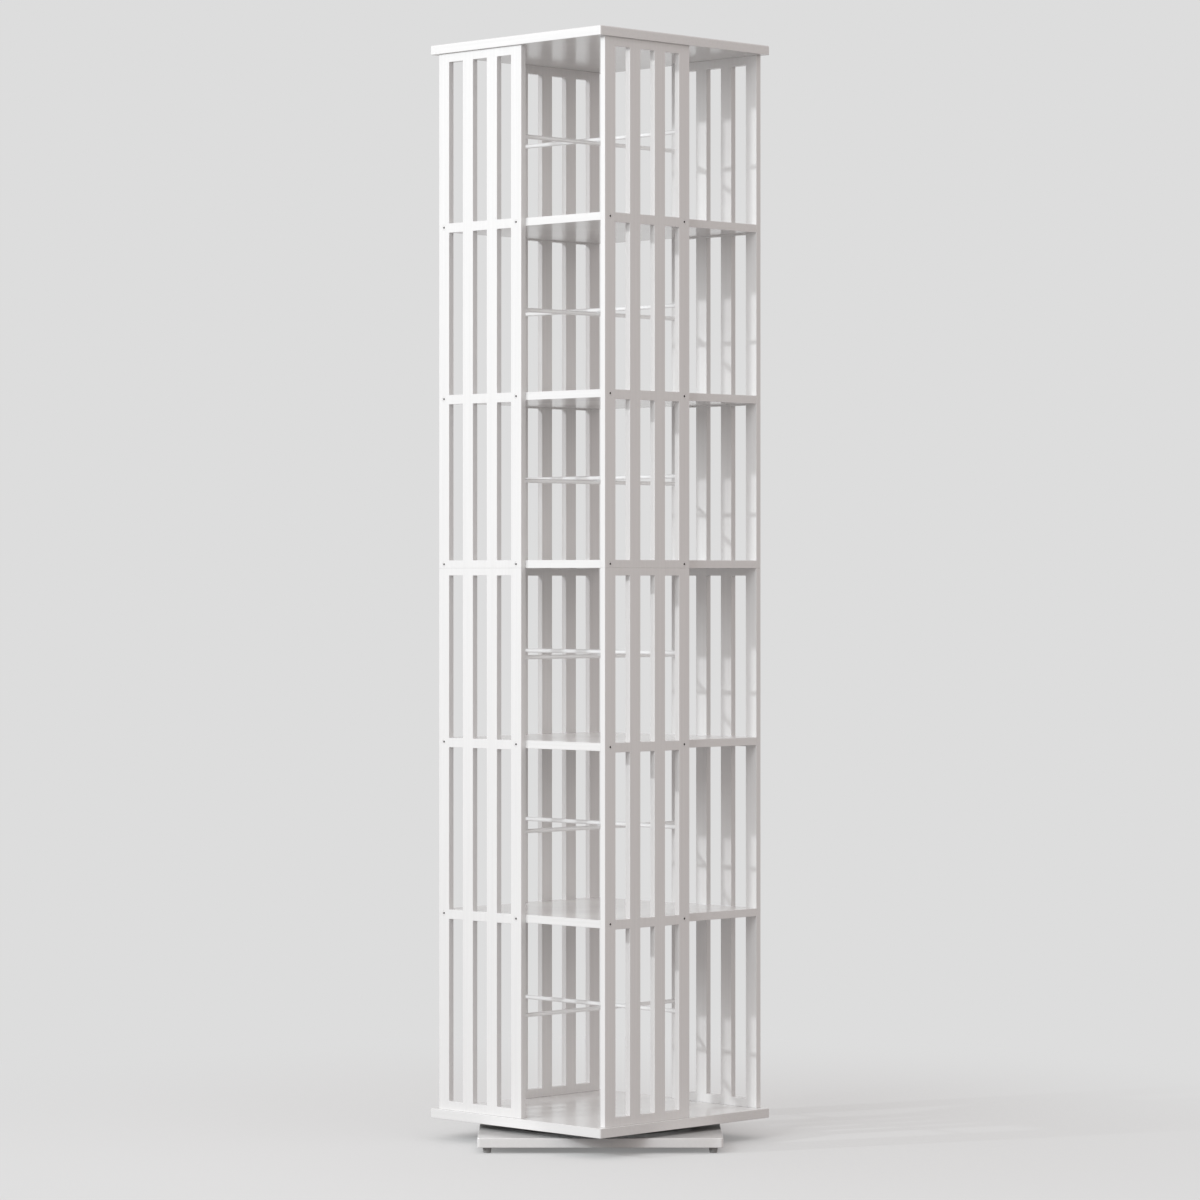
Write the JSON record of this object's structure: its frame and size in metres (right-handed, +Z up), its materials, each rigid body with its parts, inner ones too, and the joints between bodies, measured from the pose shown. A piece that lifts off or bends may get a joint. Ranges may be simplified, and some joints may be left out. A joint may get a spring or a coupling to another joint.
{
  "type": "rotating media tower",
  "caption": "Tall square open tower whose slatted panels stand like a pinwheel around shelves and crossing rods, turning freely on a ball-bearing turntable over a footed base.",
  "frame": {"origin": "on the floor, on the axis that the tower turns about, at the middle of the base plate", "axes": "+Z up along the turning axis, -Y out of the tower's front face at rest, +X out of its right face"},
  "size_m": [0.6456, 0.6456, 2.095],
  "materials": {
    "white_lacquer": "satin lacquer",
    "white_enamel": "gloss enamel",
    "white_screw": "lacquered head",
    "zinc_steel": "zinc plated",
    "ring_aluminium": "extruded",
    "bearing_steel": "polished",
    "cage_nylon": "moulded",
    "foot_rubber": "moulded grey",
    "dowel_beech": "bare beech"
  },
  "bodies": {
    "base": {"base_plate": "white_lacquer", "foot_front": "foot_rubber", "foot_right": "foot_rubber", "foot_back": "foot_rubber", "foot_left": "foot_rubber", "foot_screws": "zinc_steel", "turntable_fixed_ring": "ring_aluminium", "fixed_ring_screws": "zinc_steel"},
    "ball_cage": {"ball_cage": "cage_nylon", "turntable_balls": "bearing_steel"},
    "tower": {"turntable_turning_ring": "ring_aluminium", "turning_ring_screws": "zinc_steel", "bottom_board": "white_lacquer", "bottom_board_screws": "white_screw", "lower_panel_front": "white_lacquer", "lower_panel_right": "white_lacquer", "lower_panel_back": "white_lacquer", "lower_panel_left": "white_lacquer", "upper_panel_front": "white_lacquer", "upper_panel_right": "white_lacquer", "upper_panel_back": "white_lacquer", "upper_panel_left": "white_lacquer", "shelf_1": "white_lacquer", "shelf_2": "white_lacquer", "shelf_3": "white_lacquer", "shelf_4": "white_lacquer", "shelf_5": "white_lacquer", "shelf_1_screws": "white_screw", "shelf_2_screws": "white_screw", "shelf_3_screws": "white_screw", "shelf_4_screws": "white_screw", "shelf_5_screws": "white_screw", "top_board": "white_lacquer", "top_dowels": "dowel_beech", "seam_dowels": "dowel_beech", "tier_1_rod_front_back": "white_enamel", "tier_1_rod_left_right": "white_enamel", "tier_2_rod_front_back": "white_enamel", "tier_2_rod_left_right": "white_enamel", "tier_3_rod_front_back": "white_enamel", "tier_3_rod_left_right": "white_enamel", "tier_4_rod_front_back": "white_enamel", "tier_4_rod_left_right": "white_enamel", "tier_5_rod_front_back": "white_enamel", "tier_5_rod_left_right": "white_enamel", "tier_6_rod_front_back": "white_enamel", "tier_6_rod_left_right": "white_enamel"}
  },
  "joints": [
    {"name": "tower_spin", "type": "hinge", "parent": "base", "child": "tower", "pos_m": [0, 0, 0.0345], "axis": [0, 0, 1], "continuous": true},
    {"name": "cage_spin", "type": "hinge", "parent": "base", "child": "ball_cage", "pos_m": [0, 0, 0.0345], "axis": [0, 0, 1], "continuous": true}
  ],
  "couplings": [
    {"joint": "cage_spin", "follows": "tower_spin", "ratio": 0.51}
  ]
}
